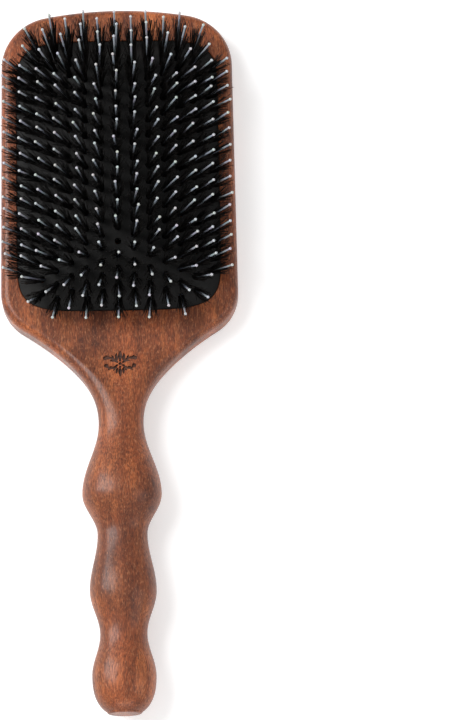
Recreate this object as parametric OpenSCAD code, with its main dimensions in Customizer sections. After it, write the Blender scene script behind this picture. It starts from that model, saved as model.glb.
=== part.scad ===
// Paddle hairbrush: a one-piece wooden head and handle, a domed air cushion, and tufts of bristle
// round nylon pins. The brush lies on its back. X goes across the head, Y along the brush with the
// head at +Y, and Z up out of the bristles. Millimetres. The middle of the length is at Y = 0, and
// the flat back of the head is at Z = 0.

/* [Overall] */
// Length from the top of the head to the end of the handle
brush_len = 254; // [220:1:300]
// Width of the head at its lower end
head_w = 83; // [66:1:100]
// Length of the head, from its top to where the lower corners turn in
head_len = 117.3; // [98:0.1:140]
// Thickness of the head
head_thick = 12; // [9:0.5:16]

/* [Head outline] */
// Radius of the two upper corners
top_corner_r = 19; // [10:0.5:26]
// Radius of the two lower corners
low_corner_r = 16; // [8:0.5:22]
// Radius of the slight arch across the top
top_arch_r = 140; // [90:5:300]
// How much narrower the head is at its top than at its lower end
head_taper = 1.2; // [0:0.1:4]
// Rounding of the head's edges
edge_r = 3; // [1:0.25:4]

/* [Handle] */
// Width of the neck
neck_w = 15.6; // [11:0.2:22]
// Width of the first swelling, nearest the head
bulb1_w = 27.5; // [20:0.5:36]
// Width of the waist between the first and second swellings
waist1_w = 17.2; // [12:0.2:24]
// Width of the second swelling
bulb2_w = 23; // [17:0.5:32]
// Width of the waist between the second and third swellings
waist2_w = 16.2; // [11:0.2:22]
// Width of the third swelling
bulb3_w = 22; // [16:0.5:30]
// Depth of the handle as a share of its width
handle_round = 0.8; // [0.6:0.05:1]

/* [Cushion] */
// Wood beside the cushion, at each side of the head
pad_side_margin = 6; // [4:0.5:12]
// Wood between the top of the head and the cushion
pad_top_margin = 12.3; // [8:0.1:18]
// Wood between the cushion and the place where the lower corners turn in
pad_low_margin = 6; // [3:0.1:12]
// Rise of the dome above its rim
dome_h = 11; // [7:0.5:14]
// Thickness of the rubber, measured upright
rubber_t = 1.4; // [1:0.1:2]
// Thickness of the backing cloth
cloth_t = 0.5; // [0.3:0.1:1]
// Thickness of the adhesive between the rubber and the cloth
glue_t = 0.05; // [0.05:0.01:0.2]
// Width of the flat rim round the dome
rim_w = 1.3; // [0.8:0.1:2.5]
// Thickness of the flat rim
rim_t = 1.2; // [0.8:0.1:1.6]
// Depth of the recess below the front of the head
recess_depth = 8; // [5:0.25:9]

/* [Bristles] */
// Columns of tufts across the cushion, an odd number
tuft_cols = 13; // [9:2:15]
// Rows of tufts in the middle column, an odd number
tuft_rows = 19; // [13:2:23]
// Length of a nylon pin above the rubber
pin_len = 16; // [12:0.5:22]
// Diameter of a nylon pin
pin_d = 0.75; // [0.6:0.05:1.4]
// Diameter of the ball on a pin's tip
ball_d = 1.05; // [0.9:0.05:2.2]
// Length of the bristle above the rubber
tuft_len = 12; // [8:0.5:15]
// Diameter of a tuft where it leaves the rubber
tuft_d = 2.1; // [1.7:0.05:2.6]
// Diameter of a tuft at its free end
tuft_tip_d = 3.5; // [2.4:0.1:4.2]

/* [Hidden] */
$fn = 32;

// ---- places along the brush, measured from the top of the head and then turned into Y
handle_len = brush_len - head_len;
neck_s = head_len + 0.254 * handle_len;
bulb1_s = head_len + 0.437 * handle_len;
waist1_s = head_len + 0.541 * handle_len;
bulb2_s = head_len + 0.685 * handle_len;
waist2_s = head_len + 0.797 * handle_len;
bulb3_s = head_len + 0.903 * handle_len;
function to_y(s) = brush_len / 2 - s;

// ---- the handle's own shape
// the handle's axis is at the height where its largest swelling just meets the table
handle_z = handle_round * bulb1_w / 2;
// the rounded end would close a little beyond the flat that cuts it
end_reach = (brush_len - bulb3_s) * 1.06;
end_power = 2.4;
flare_power = 2.1;
mid_z = head_thick / 2;

// ---- the upper outline: an arch, a corner, and a side that widens a little downwards
top_half = head_w / 2 - head_taper / 2;
low_half = head_w / 2;
arch_turn = asin((top_half - top_corner_r) / (top_arch_r - top_corner_r));
corner_s = top_arch_r - (top_arch_r - top_corner_r) * cos(arch_turn);
low_turn = atan(1.56);
low_s = head_len - low_corner_r * sin(low_turn);
flare_x = low_half - low_corner_r + low_corner_r * cos(low_turn);

// ---- the fineness of the outline
arch_n = 5;
corner_n = 9;
side_n = 5;
low_n = 6;
flare_n = 9;
wave_n = 6;
round_n = 5;

// A smooth step from 0 to 1
function ease(t) = (1 - cos(180 * min(1, max(0, t)))) / 2;
function mix(a, b, t) = a + (b - a) * t;
// The half width of the handle at s, a wave from one named width to the next
function wave(s, s0, w0, s1, w1) = mix(w0, w1, ease((s - s0) / (s1 - s0))) / 2;
function end_half(s) = bulb3_w / 2 * pow(1 - pow((s - bulb3_s) / end_reach, end_power), 1 / end_power);

arch_pts = [for (i = [0 : arch_n - 1]) let (a = arch_turn * i / arch_n)
    [top_arch_r * sin(a), top_arch_r * (1 - cos(a))]];
corner_pts = [for (i = [0 : corner_n]) let (a = mix(arch_turn, 90, i / corner_n))
    [top_half - top_corner_r + top_corner_r * sin(a), corner_s - top_corner_r * cos(a)]];
side_pts = [for (i = [1 : side_n - 1]) let (t = i / side_n)
    [mix(top_half, low_half, t), mix(corner_s, low_s, t)]];
low_pts = [for (i = [0 : low_n]) let (a = low_turn * i / low_n)
    [low_half - low_corner_r * (1 - cos(a)), low_s + low_corner_r * sin(a)]];
flare_pts = [for (i = [1 : flare_n]) let (u = 1 - i / flare_n)
    [neck_w / 2 + (flare_x - neck_w / 2) * pow(u, flare_power), neck_s - u * (neck_s - head_len)]];
function wave_pts(s0, w0, s1, w1) = [for (i = [1 : wave_n]) let (s = mix(s0, s1, i / wave_n))
    [wave(s, s0, w0, s1, w1), s]];
end_pts = [for (i = [1 : wave_n + 2])
    let (s = bulb3_s + (brush_len - bulb3_s) * sin(90 * i / (wave_n + 2)))
    [end_half(s), s]];

outline = concat(arch_pts, corner_pts, side_pts, low_pts, flare_pts,
    wave_pts(neck_s, neck_w, bulb1_s, bulb1_w),
    wave_pts(bulb1_s, bulb1_w, waist1_s, waist1_w),
    wave_pts(waist1_s, waist1_w, bulb2_s, bulb2_w),
    wave_pts(bulb2_s, bulb2_w, waist2_s, waist2_w),
    wave_pts(waist2_s, waist2_w, bulb3_s, bulb3_w),
    end_pts);
last = len(outline) - 1;

// How far the section has turned from a slab with rounded edges (0) to a full oval (1)
flat_s = head_len + 0.2 * (neck_s - head_len);
function oval(s) = ease((s - flat_s) / (neck_s - flat_s));
function centre_z(s) = mix(mid_z, handle_z, oval(s));
function half_depth(i) = let (s = outline[i][1])
    s > neck_s ? handle_round * outline[i][0] : mix(mid_z, handle_round * neck_w / 2, oval(s));
function unit(v) = v / norm(v);
// The way inwards from the outline: square to it on the head, straight across on the handle
function inward(i) = let (
    t = unit(outline[min(last, i + 1)] - outline[max(0, i - 1)]),
    n = i == 0 ? [0, 1] : [-t[1], t[0]])
    unit(mix(n, [-1, 0], oval(outline[i][1])));
// One point of the skin, j steps up from the underside, round the edge, to the top
function skin(i, j, side) = let (
    s = outline[i][1],
    up = j > round_n ? 1 : -1,
    a = 90 * (j > round_n ? j - round_n - 1 : round_n - j) / round_n,
    o = oval(s),
    in_r = mix(edge_r, 0.96 * outline[i][0], o * o),
    up_r = mix(edge_r, 0.97 * half_depth(i), o),
    p = outline[i] + inward(i) * in_r * (1 - cos(a)),
    z = centre_z(s) + up * (half_depth(i) - up_r + up_r * sin(a)))
    [side * p[0], to_y(p[1]), z];

levels = 2 * round_n + 1;
per_side = last * (levels + 1);
function at(i, j, side) = i == 0 ? j : i * (levels + 1) + (side > 0 ? 0 : per_side) + j;
body_points = concat(
    [for (j = [0 : levels]) skin(0, j, 0)],
    [for (side = [1, -1]) for (i = [1 : last]) for (j = [0 : levels]) skin(i, j, side)]);
body_faces = concat(
    [for (i = [0 : last - 1]) for (j = [0 : levels - 1])
        [at(i, j, 1), at(i + 1, j, 1), at(i + 1, j + 1, 1), at(i, j + 1, 1)]],
    [for (i = [0 : last - 1]) for (j = [0 : levels - 1])
        [at(i, j + 1, -1), at(i + 1, j + 1, -1), at(i + 1, j, -1), at(i, j, -1)]],
    [[at(0, levels, 1), at(1, levels, 1), at(1, levels, -1)], [at(0, 0, 1), at(1, 0, -1), at(1, 0, 1)]],
    [for (i = [1 : last - 1])
        [at(i, levels, 1), at(i + 1, levels, 1), at(i + 1, levels, -1), at(i, levels, -1)]],
    [for (i = [1 : last - 1])
        [at(i, 0, -1), at(i + 1, 0, -1), at(i + 1, 0, 1), at(i, 0, 1)]],
    [concat([for (j = [0 : levels]) at(last, levels - j, 1)], [for (j = [0 : levels]) at(last, j, -1)])]);

// ---- the cushion: every contour has straight sides and two rounded ends, round the same middle line
pad_len = head_len - pad_top_margin - pad_low_margin;
pad_half = head_w / 2 - pad_side_margin;
dome_half = pad_half - rim_w;
mid_line = 0.255 * pad_len;             // half the length of the straight sides
dome_end = pad_len / 2 - rim_w - mid_line;
pad_y = to_y(pad_top_margin + pad_len / 2);
corner_power = 5;
rim_z = head_thick - rim_t - 0.4;       // the ledge that the rim is bonded to
ledge_w = rim_w + 0.6;
seat_gap = 0.15;
floor_z = head_thick - recess_depth;
dome_z = rim_z + rim_t;

arc_n = 16;
run_n = 4;
rings = 10;
first_ring = 0.09;                      // the flat middle of the dome, as a share of its half width
// The contour at share d of the way out to the dome's edge, moved outwards by grow
function end_arc(d, grow, way) = [for (i = [0 : arc_n]) let (
    a = 180 * i / arc_n,
    across = sign(cos(a)) * pow(abs(cos(a)), 2 / corner_power),
    along = pow(abs(sin(a)), 2 / corner_power))
    [way * (d * dome_half + grow) * across, way * (mid_line + (d * dome_end + grow) * along)]];
function run(d, grow, way) = [for (i = [1 : run_n - 1])
    [-way * (d * dome_half + grow), way * mid_line * (1 - 2 * i / run_n)]];
function loop(d, grow) =
    concat(end_arc(d, grow, 1), run(d, grow, 1), end_arc(d, grow, -1), run(d, grow, -1));
contour_n = 2 * (arc_n + 1) + 2 * (run_n - 1);
// It starts in the middle of an end, so that no flat face is fanned from a point on a straight side
function contour(d, grow) = let (q = loop(d, grow))
    [for (i = [0 : contour_n - 1]) q[(i + arc_n / 2) % contour_n]];

// The share of the way out from the middle line, and the height of the dome there
function share(x, y) = let (
    u = abs(x) / dome_half,
    v = max(0, abs(y) - mid_line) / dome_end)
    pow(pow(u, corner_power) + pow(v, corner_power), 1 / corner_power);
function rise(d) = dome_h * (1 - d * d);
function ring_share(k) = mix(first_ring, 1, k / rings);
// The upward direction of the dome at x, y
function slope(x, y) = let (
    e = 0.01,
    gx = (rise(share(x + e, y)) - rise(share(x - e, y))) / (2 * e),
    gy = (rise(share(x, y + e)) - rise(share(x, y - e))) / (2 * e))
    unit([-gx, -gy, 1]);

// A sheet skinned over stacked contours, each given as [share, grow, height]
module ring_stack(stack) {
    pts = [for (r = stack) for (p = contour(r[0], r[1])) [p[0], p[1], r[2]]];
    n = contour_n;
    m = len(stack);
    sides = [for (k = [0 : m - 2]) for (i = [0 : n - 1])
        [k * n + i, (k + 1) * n + i, (k + 1) * n + (i + 1) % n, k * n + (i + 1) % n]];
    caps = [[for (i = [0 : n - 1]) i], [for (i = [n - 1 : -1 : 0]) (m - 1) * n + i]];
    polyhedron(pts, concat(sides, caps), convexity = 6);
}

// ---- where the tufts stand: evenly along the rubber, so closer together in plan where it is steep
edge_share = 0.95;
side_squeeze = 0.07;
end_squeeze = 0.8;
half_cols = (tuft_cols - 1) / 2;
half_rows = (tuft_rows - 1) / 2;
col_pitch = 0.995 * dome_half / half_cols;
row_pitch = (mid_line + 0.891 * dome_end / end_squeeze) / half_rows;
function col_x(c) = c * col_pitch * (1 - side_squeeze * abs(c) / half_cols);
function row_y(k) = let (t = abs(k) * row_pitch)
    sign(k) * (t < mid_line ? t : mid_line + (t - mid_line) * end_squeeze);
vent_col = 0;
vent_row = -5;
vent_d = 2.2;
function spot(c, r) = [col_x(c), row_y(r + (c % 2 == 0 ? 0 : 0.5))];
function is_vent(c, r) = c == vent_col && r == vent_row;
vent = spot(vent_col, vent_row);
spots = [for (c = [-half_cols : half_cols]) for (r = [-half_rows : half_rows])
    let (p = spot(c, r), d = share(p[0], p[1]))
    if (d < edge_share && !is_vent(c, r)) [p[0], p[1], d, c, r]];
// Five zones by height, from 1 in the middle to 5 at the rim, and the spread-out lead pins of each
zones = 5;
function zone_of(p) = min(zones, 1 + floor(p[2] / edge_share * zones));
function is_lead(p) = (p[3] + 3 * p[4]) % 7 == 0;

play = 0.12;                            // round a tuft in its hole, and above its root
root_t = 0.5;
root_d = tuft_d + 0.8;
head_t = 0.6;
head_d = 2.2;
bore_play = 0.05;

// Puts its children at a tuft's place, with Z out of the dome there and 0 on the rubber's surface
module stand(p) {
    d = slope(p[0], p[1]);
    lean = acos(d[2]);
    turn = atan2(d[1], d[0]);
    translate([p[0], pad_y + p[1], dome_z + rise(p[2])])
        rotate([0, 0, turn])
            rotate([0, lean, 0])
                rotate([0, 0, -turn])
                    children();
}
// How deep the sheet is along a leaning tuft
function depth_at(p) = let (up = slope(p[0], p[1])[2])
    (rubber_t + glue_t + cloth_t) * up + play + 0.25 * (1 - up);

module tuft_holes(r, deep) {
    for (p = spots)
        stand(p)
            translate([0, 0, -deep]) cylinder(r = r, h = deep + 2);
    translate([vent[0], pad_y + vent[1], head_thick])
        cylinder(d = vent_d, h = dome_h + 3);
}

// ---- the wooden head and handle, with the milled recess and the ledge for the cushion's rim
module wooden_body() {
    color([0.60, 0.32, 0.19])
        difference() {
            polyhedron(body_points, body_faces, convexity = 8);
            translate([0, pad_y, rim_z])
                linear_extrude(head_thick - rim_z + 1) polygon(contour(1, rim_w + seat_gap));
            translate([0, pad_y, floor_z])
                linear_extrude(head_thick - floor_z + 1) polygon(contour(1, rim_w - ledge_w));
        }
}

// ---- the rubber: a flat rim, and a dome punched for every tuft and for the vent
module rubber_cushion() {
    color([0.05, 0.05, 0.05])
        difference() {
            translate([0, pad_y, 0])
                ring_stack(concat(
                    [for (k = [0 : rings]) let (d = ring_share(k)) [d, 0, dome_z + rise(d)]],
                    [[1, rim_w, dome_z], [1, rim_w, rim_z]],
                    [for (k = [rings : -1 : 0]) let (d = ring_share(k) * under_share)
                        [d, 0, max(rim_z, dome_z + rise(d) - rubber_t)]]));
            tuft_holes(tuft_d / 2 + play, 3.2);
        }
}
// The dome's underside stops where it would reach the level of the ledge
under_share = sqrt(1 - (rubber_t - rim_t) / dome_h) * 0.999;

// ---- the cloth bonded under the rubber, which stops short of the ledge
module backing_cloth() {
    color([0.22, 0.21, 0.20])
        difference() {
            translate([0, pad_y, 0])
                ring_stack(concat(
                    [for (k = [0 : rings]) let (d = ring_share(k) * cloth_share)
                        [d, 0, cloth_top(d)]],
                    [for (k = [rings : -1 : 0]) let (d = ring_share(k) * cloth_share)
                        [d, 0, cloth_top(d) - cloth_t]]));
            tuft_holes(tuft_d / 2 + play, 4);
        }
}
cloth_share = 0.97;
function cloth_top(d) = dome_z + rise(d) - rubber_t - glue_t;

// ---- one nylon pin: a moulded head under the tuft's root, a shaft, and a ball tip
module pin(p) {
    below = depth_at(p) + root_t + bore_play;
    stand(p) {
        translate([0, 0, -below - head_t]) cylinder(d = head_d, h = head_t);
        translate([0, 0, -below]) cylinder(d = pin_d, h = below + pin_len - ball_d / 2);
        translate([0, 0, pin_len - ball_d / 2]) sphere(d = ball_d);
    }
}
module pins_of(zone, lead) {
    color([0.78, 0.80, 0.82])
        for (p = spots)
            if (zone_of(p) == zone && is_lead(p) == lead) pin(p);
}

// ---- one tuft: its bound root, and a bundle that opens towards its free end, round its pin
module tuft(p) {
    below = depth_at(p);
    stand(p)
        difference() {
            union() {
                translate([0, 0, -below - root_t]) cylinder(d = root_d, h = root_t);
                translate([0, 0, -below]) cylinder(d = tuft_d, h = below + 1);
                translate([0, 0, 1]) cylinder(d1 = tuft_d, d2 = tuft_tip_d, h = tuft_len - 1);
            }
            translate([0, 0, -below - root_t - 1])
                cylinder(d = pin_d + 2 * bore_play, h = below + root_t + tuft_len + 2);
        }
}
function is_right(p) = p[3] > 0 || (p[3] == 0 && p[4] % 2 == 0);
module tufts_of(zone, right) {
    color([0.09, 0.08, 0.08])
        for (p = spots)
            if (zone_of(p) == zone && is_right(p) == right) tuft(p);
}

module pins_zone1() { pins_of(1, false); }
module pins_zone2() { pins_of(2, false); }
module pins_zone3() { pins_of(3, false); }
module pins_zone4() { pins_of(4, false); }
module pins_zone5() { pins_of(5, false); }
module lead_pins_zone1() { pins_of(1, true); }
module lead_pins_zone2() { pins_of(2, true); }
module lead_pins_zone3() { pins_of(3, true); }
module lead_pins_zone4() { pins_of(4, true); }
module lead_pins_zone5() { pins_of(5, true); }
module tufts_zone1_left() { tufts_of(1, false); }
module tufts_zone2_left() { tufts_of(2, false); }
module tufts_zone3_left() { tufts_of(3, false); }
module tufts_zone4_left() { tufts_of(4, false); }
module tufts_zone5_left() { tufts_of(5, false); }
module tufts_zone1_right() { tufts_of(1, true); }
module tufts_zone2_right() { tufts_of(2, true); }
module tufts_zone3_right() { tufts_of(3, true); }
module tufts_zone4_right() { tufts_of(4, true); }
module tufts_zone5_right() { tufts_of(5, true); }

wooden_body();
rubber_cushion();
backing_cloth();
pins_zone1();
pins_zone2();
pins_zone3();
pins_zone4();
pins_zone5();
lead_pins_zone1();
lead_pins_zone2();
lead_pins_zone3();
lead_pins_zone4();
lead_pins_zone5();
tufts_zone1_left();
tufts_zone2_left();
tufts_zone3_left();
tufts_zone4_left();
tufts_zone5_left();
tufts_zone1_right();
tufts_zone2_right();
tufts_zone3_right();
tufts_zone4_right();
tufts_zone5_right();
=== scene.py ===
import math

import bmesh
import bpy
from mathutils import Matrix, Vector
from mathutils.geometry import delaunay_2d_cdt


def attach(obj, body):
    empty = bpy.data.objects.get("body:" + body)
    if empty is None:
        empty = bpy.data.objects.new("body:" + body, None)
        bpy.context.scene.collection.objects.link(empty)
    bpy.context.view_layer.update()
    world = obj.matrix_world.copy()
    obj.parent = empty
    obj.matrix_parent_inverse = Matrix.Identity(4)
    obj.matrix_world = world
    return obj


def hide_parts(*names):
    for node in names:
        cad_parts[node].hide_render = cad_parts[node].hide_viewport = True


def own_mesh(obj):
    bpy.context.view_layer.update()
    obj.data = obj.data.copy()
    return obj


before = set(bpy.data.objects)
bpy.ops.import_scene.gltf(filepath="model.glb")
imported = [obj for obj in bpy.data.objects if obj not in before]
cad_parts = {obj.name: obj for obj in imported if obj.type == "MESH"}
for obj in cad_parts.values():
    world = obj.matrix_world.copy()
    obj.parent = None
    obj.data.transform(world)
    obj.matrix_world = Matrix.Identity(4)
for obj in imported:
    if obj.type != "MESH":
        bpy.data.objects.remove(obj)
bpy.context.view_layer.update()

# ---- Wooden head and handle
# One board of reddish hardwood, sawn to the paddle outline. The head keeps the board's flat faces, and the
# handle is shaped into three round swellings. The front is milled out for the cushion. The whole is stained,
# sanded and given a satin lacquer.
MM = 0.001                      # the sizes below are in millimetres
brush_length = 254.0
head_width = 83.0
head_length = 117.3
head_thickness = 12.0
top_corner = 19.0
low_corner = 16.0
top_arch = 140.0
head_taper = 1.2
edge_round = 3.0
oval_inwards = 0.96             # where the section is oval, how much of its half width
oval_upwards = 0.97             # and half depth the rounding takes
flare_slope = 1.56              # of the edge, where the head starts to narrow
flare_power = 2.1
neck_width = 15.6
swelling_widths = (27.5, 23.0, 22.0)
waist_widths = (17.2, 16.2)
handle_depth_share = 0.8
end_reach = 1.06
end_power = 2.4
end_arris = 0.7                 # the end's edge, eased by the sander
pad_width = 71.0
pad_length = 99.0
pad_top_margin = 12.3
rim_width = 1.3
rim_thickness = 1.2
rim_sink = 0.4
recess_depth = 8.0
corner_power = 5                # how square the cushion's rounded ends are
straight_share = 0.255          # half of the straight side, of the cushion's length
ledge_inset = 0.6
seat_gap = 0.15
mouth_chamfer = 0.2

handle_length = brush_length - head_length
neck_at, swell1_at, waist1_at, swell2_at, waist2_at, swell3_at = (
    head_length + share * handle_length for share in (0.254, 0.437, 0.541, 0.685, 0.797, 0.903))
handle_z = handle_depth_share * swelling_widths[0] / 2
mid_z = head_thickness / 2
flat_until = head_length + 0.2 * (neck_at - head_length)


def ease(t):
    t = min(1.0, max(0.0, t))
    return (1 - math.cos(math.pi * t)) / 2


def mix(a, b, t):
    return a + (b - a) * t


def roundness(s):
    """0 where the section is a slab with rounded edges, 1 where it is a full oval."""
    return ease((s - flat_until) / (neck_at - flat_until))


def centre_height(s):
    return mix(mid_z, handle_z, roundness(s))


def half_depth(s, half_width):
    if s > neck_at:
        return handle_depth_share * half_width
    return mix(mid_z, handle_depth_share * neck_width / 2, roundness(s))


def paddle_outline():
    """(half width, distance from the top of the head) down one side of the brush."""
    top_half = head_width / 2 - head_taper / 2
    low_half = head_width / 2
    turn = math.asin((top_half - top_corner) / (top_arch - top_corner))
    corner_at = top_arch - (top_arch - top_corner) * math.cos(turn)
    low_turn = math.atan(flare_slope)
    low_at = head_length - low_corner * math.sin(low_turn)
    flare_x = low_half - low_corner + low_corner * math.cos(low_turn)
    points = []
    for i in range(12):
        a = turn * i / 12
        points.append((top_arch * math.sin(a), top_arch * (1 - math.cos(a))))
    for i in range(23):
        a = mix(turn, math.pi / 2, i / 22)
        half = top_half - top_corner + top_corner * math.sin(a)
        points.append((half, corner_at - top_corner * math.cos(a)))
    points += [(mix(top_half, low_half, i / 12), mix(corner_at, low_at, i / 12)) for i in range(1, 12)]
    for i in range(17):
        a = low_turn * i / 16
        points.append((low_half - low_corner * (1 - math.cos(a)), low_at + low_corner * math.sin(a)))
    for i in range(1, 29):
        u = 1 - i / 28
        half = neck_width / 2 + (flare_x - neck_width / 2) * u ** flare_power
        points.append((half, neck_at - u * (neck_at - head_length)))
    stations = [(neck_at, neck_width),
                (swell1_at, swelling_widths[0]), (waist1_at, waist_widths[0]),
                (swell2_at, swelling_widths[1]), (waist2_at, waist_widths[1]),
                (swell3_at, swelling_widths[2])]
    for (s0, w0), (s1, w1) in zip(stations, stations[1:]):
        points += [(mix(w0, w1, ease(i / 16)) / 2, mix(s0, s1, i / 16)) for i in range(1, 17)]
    reach = (brush_length - swell3_at) * end_reach
    end_at = brush_length - end_arris
    for i in range(1, 21):
        s = swell3_at + (end_at - swell3_at) * math.sin(math.pi / 2 * i / 20)
        across = (1 - ((s - swell3_at) / reach) ** end_power) ** (1 / end_power)
        points.append((swelling_widths[2] / 2 * across, s))
    end_half = points[-1][0]
    for i in range(1, 6):
        a = math.pi / 2 * i / 5
        points.append((end_half - 1.6 * end_arris * (1 - math.cos(a)), end_at + end_arris * math.sin(a)))
    return points


def turned_body():
    """The outside of the body: the outline on both sides, with rounded edges in levels from back to front."""
    outline = paddle_outline()
    last = len(outline) - 1
    steps = 10
    levels = [(-1, math.pi / 2 * (steps - j) / steps) for j in range(steps + 1)]
    levels += [(1, math.pi / 2 * j / steps) for j in range(steps + 1)]
    mesh = bmesh.new()
    rows = {}
    for i, (x, s) in enumerate(outline):
        (x0, s0), (x1, s1) = outline[max(0, i - 1)], outline[min(last, i + 1)]
        along = Vector((x1 - x0, s1 - s0)).normalized()
        square_in = Vector((0, 1)) if i == 0 else Vector((-along.y, along.x))
        o = roundness(s)
        inward = square_in.lerp(Vector((-1, 0)), o).normalized()
        depth = half_depth(s, x)
        in_r = mix(edge_round, oval_inwards * x, o * o)
        up_r = mix(edge_round, oval_upwards * depth, o)
        for side in ((1,) if i == 0 else (1, -1)):
            row = []
            for up, a in levels:
                step = in_r * (1 - math.cos(a))
                z = centre_height(s) + up * (depth - up_r + up_r * math.sin(a))
                y = brush_length / 2 - s - inward.y * step
                row.append(mesh.verts.new((side * (x + inward.x * step), y, z)))
            rows[i, side] = row
    rows[0, -1] = rows[0, 1]
    top = len(levels) - 1
    for i in range(last):
        for side in (1, -1):
            for j in range(top):
                near, far = rows[i, side], rows[i + 1, side]
                face = [near[j], far[j], far[j + 1], near[j + 1]]
                mesh.faces.new(face if side > 0 else face[::-1])
        for j, order in ((top, 1), (0, -1)):
            ring = [rows[i, 1][j], rows[i + 1, 1][j], rows[i + 1, -1][j], rows[i, -1][j]]
            if i == 0:
                ring.pop()
            mesh.faces.new(ring[::-order] if order > 0 else ring)
    mesh.faces.new(rows[last, 1][::-1] + rows[last, -1])
    bmesh.ops.recalc_face_normals(mesh, faces=mesh.faces)
    slab_end = brush_length / 2 - flat_until
    for up in (1, -1):
        flat = [f for f in mesh.faces if f.normal.z * up > 0.9999 and f.calc_center_median().y > slab_end]
        bmesh.ops.dissolve_faces(mesh, faces=flat)
    data = bpy.data.meshes.new("wooden_body_shape")
    mesh.to_mesh(data)
    mesh.free()
    return data


pad_y = brush_length / 2 - pad_top_margin - pad_length / 2
dome_half = pad_width / 2 - rim_width
mid_line = straight_share * pad_length
dome_end = pad_length / 2 - rim_width - mid_line
ledge_z = head_thickness - rim_thickness - rim_sink
recess_floor = head_thickness - recess_depth


def pad_contour(grow, count=40, runs=10):
    """The cushion's outline, moved outwards by grow: straight sides and two rounded ends."""
    points = []
    for way in (1, -1):
        for i in range(count + 1):
            a = math.pi * i / count
            across = math.copysign(abs(math.cos(a)) ** (2 / corner_power), math.cos(a))
            along = mid_line + (dome_end + grow) * abs(math.sin(a)) ** (2 / corner_power)
            points.append((way * (dome_half + grow) * across, way * along))
        points += [(-way * (dome_half + grow), way * mid_line * (1 - 2 * i / runs)) for i in range(1, runs)]
    return points


def recess_cutter():
    """What is milled away: the chamber, the ledge for the rim, and a fine chamfer at the mouth."""
    mouth = rim_width + seat_gap
    above = 0.25
    wide = mouth + mouth_chamfer + above
    stack = [(-ledge_inset, recess_floor), (-ledge_inset, ledge_z), (mouth, ledge_z),
             (mouth, head_thickness - mouth_chamfer), (wide, head_thickness + above),
             (wide, head_thickness + 2)]
    mesh = bmesh.new()
    rings = [[mesh.verts.new((x, pad_y + y, z)) for x, y in pad_contour(grow)] for grow, z in stack]
    for low, high in zip(rings, rings[1:]):
        for i in range(len(low)):
            k = (i + 1) % len(low)
            mesh.faces.new((low[i], low[k], high[k], high[i]))
    mesh.faces.new(rings[0][::-1])
    mesh.faces.new(rings[-1])
    data = bpy.data.meshes.new("recess_cutter")
    mesh.to_mesh(data)
    mesh.free()
    return data


# The burnt ornament: a rosette, a fan of leaves above it, and leafy sprays that curl out to both sides.
back_mark_at = 63.5
back_mark_depth = 0.3
neck_mark_at = 131.0
neck_mark_depth = 0.2


def leaf(x, y, angle, length, width, curl=0.0):
    """A pointed leaf from x, y at angle degrees, its midrib turning by curl degrees."""
    n = 9
    left, right = [], []
    px, py = x, y
    for i in range(n + 1):
        t = i / n
        a = math.radians(angle + curl * t)
        half = width / 2 * math.sin(math.pi * t ** 0.75) ** 0.8 if 0 < i < n else 0.03
        left.append((px - half * math.sin(a), py + half * math.cos(a)))
        right.append((px + half * math.sin(a), py - half * math.cos(a)))
        px += length / n * math.cos(a)
        py += length / n * math.sin(a)
    return left + right[::-1]


def stem(x, y, angle, length, turn, turn_end, thick=1.1, thin=0.5):
    """A tapering stem that turns by turn degrees at first and turn_end at last, and the places along it."""
    n = 26
    left, right, places = [], [], []
    px, py, heading = x, y, angle
    for i in range(n + 1):
        t = i / n
        a = math.radians(heading)
        half = mix(thick, thin, t) / 2
        left.append((px - half * math.sin(a), py + half * math.cos(a)))
        right.append((px + half * math.sin(a), py - half * math.cos(a)))
        places.append((px, py, heading))
        px += length / n * math.cos(a)
        py += length / n * math.sin(a)
        heading += mix(turn, turn_end, t) / n
    return left + right[::-1], places


def berry(x, y, r):
    return [(x + r * math.cos(math.tau * i / 14), y + r * math.sin(math.tau * i / 14)) for i in range(14)]


def spray(x, y, angle, length, turn, turn_end, leaf_length, leaves, broad):
    """A stem with leaves on alternate sides, smaller towards its tip, and a berry at the end."""
    shape, places = stem(x, y, angle, length, turn, turn_end)
    shapes = [shape]
    for k in range(leaves):
        t = 0.12 + 0.8 * k / leaves
        px, py, heading = places[round(t * (len(places) - 1))]
        side = 1 if k % 2 else -1
        size = leaf_length * (1 - 0.45 * t)
        shapes.append(leaf(px, py, heading + side * 48, size, size * broad, -side * 30))
    px, py, heading = places[-1]
    shapes.append(berry(px, py, 0.75))
    return shapes


def ornament():
    right = spray(4.6, 3.4, 46, 23, -40, -190, 8.4, 7, 0.44)
    right += spray(5.5, -0.6, -8, 20, 60, 190, 7.2, 6, 0.44)
    right += spray(3.2, -5.6, -58, 17, 50, 190, 6.4, 6, 0.44)
    right += [leaf(1.0, 8.2, 68, 10.5, 3.8, -24), leaf(2.2, 7.4, 44, 8.4, 3.2, -40)]
    right.append(leaf(1.2, -7.6, -70, 9.5, 3.0, 26))
    shapes = right + [[(-x, y) for x, y in reversed(shape)] for shape in right]
    shapes += [leaf(0, 8.4, 90, 12.5, 4.4), leaf(0, -8.0, -90, 12.5, 3.8), berry(0, -21.8, 1.0)]
    for k in range(8):
        a = math.radians(45 * k + 22.5)
        shapes.append(leaf(2.1 * math.cos(a), 2.1 * math.sin(a), 45 * k + 22.5, 5.6, 3.3))
        a += math.radians(22.5)
        shapes.append(leaf(4.6 * math.cos(a), 4.6 * math.sin(a), 45 * k + 45, 3.4, 1.5))
    shapes.append(berry(0, 0, 1.3))
    return shapes


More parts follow.
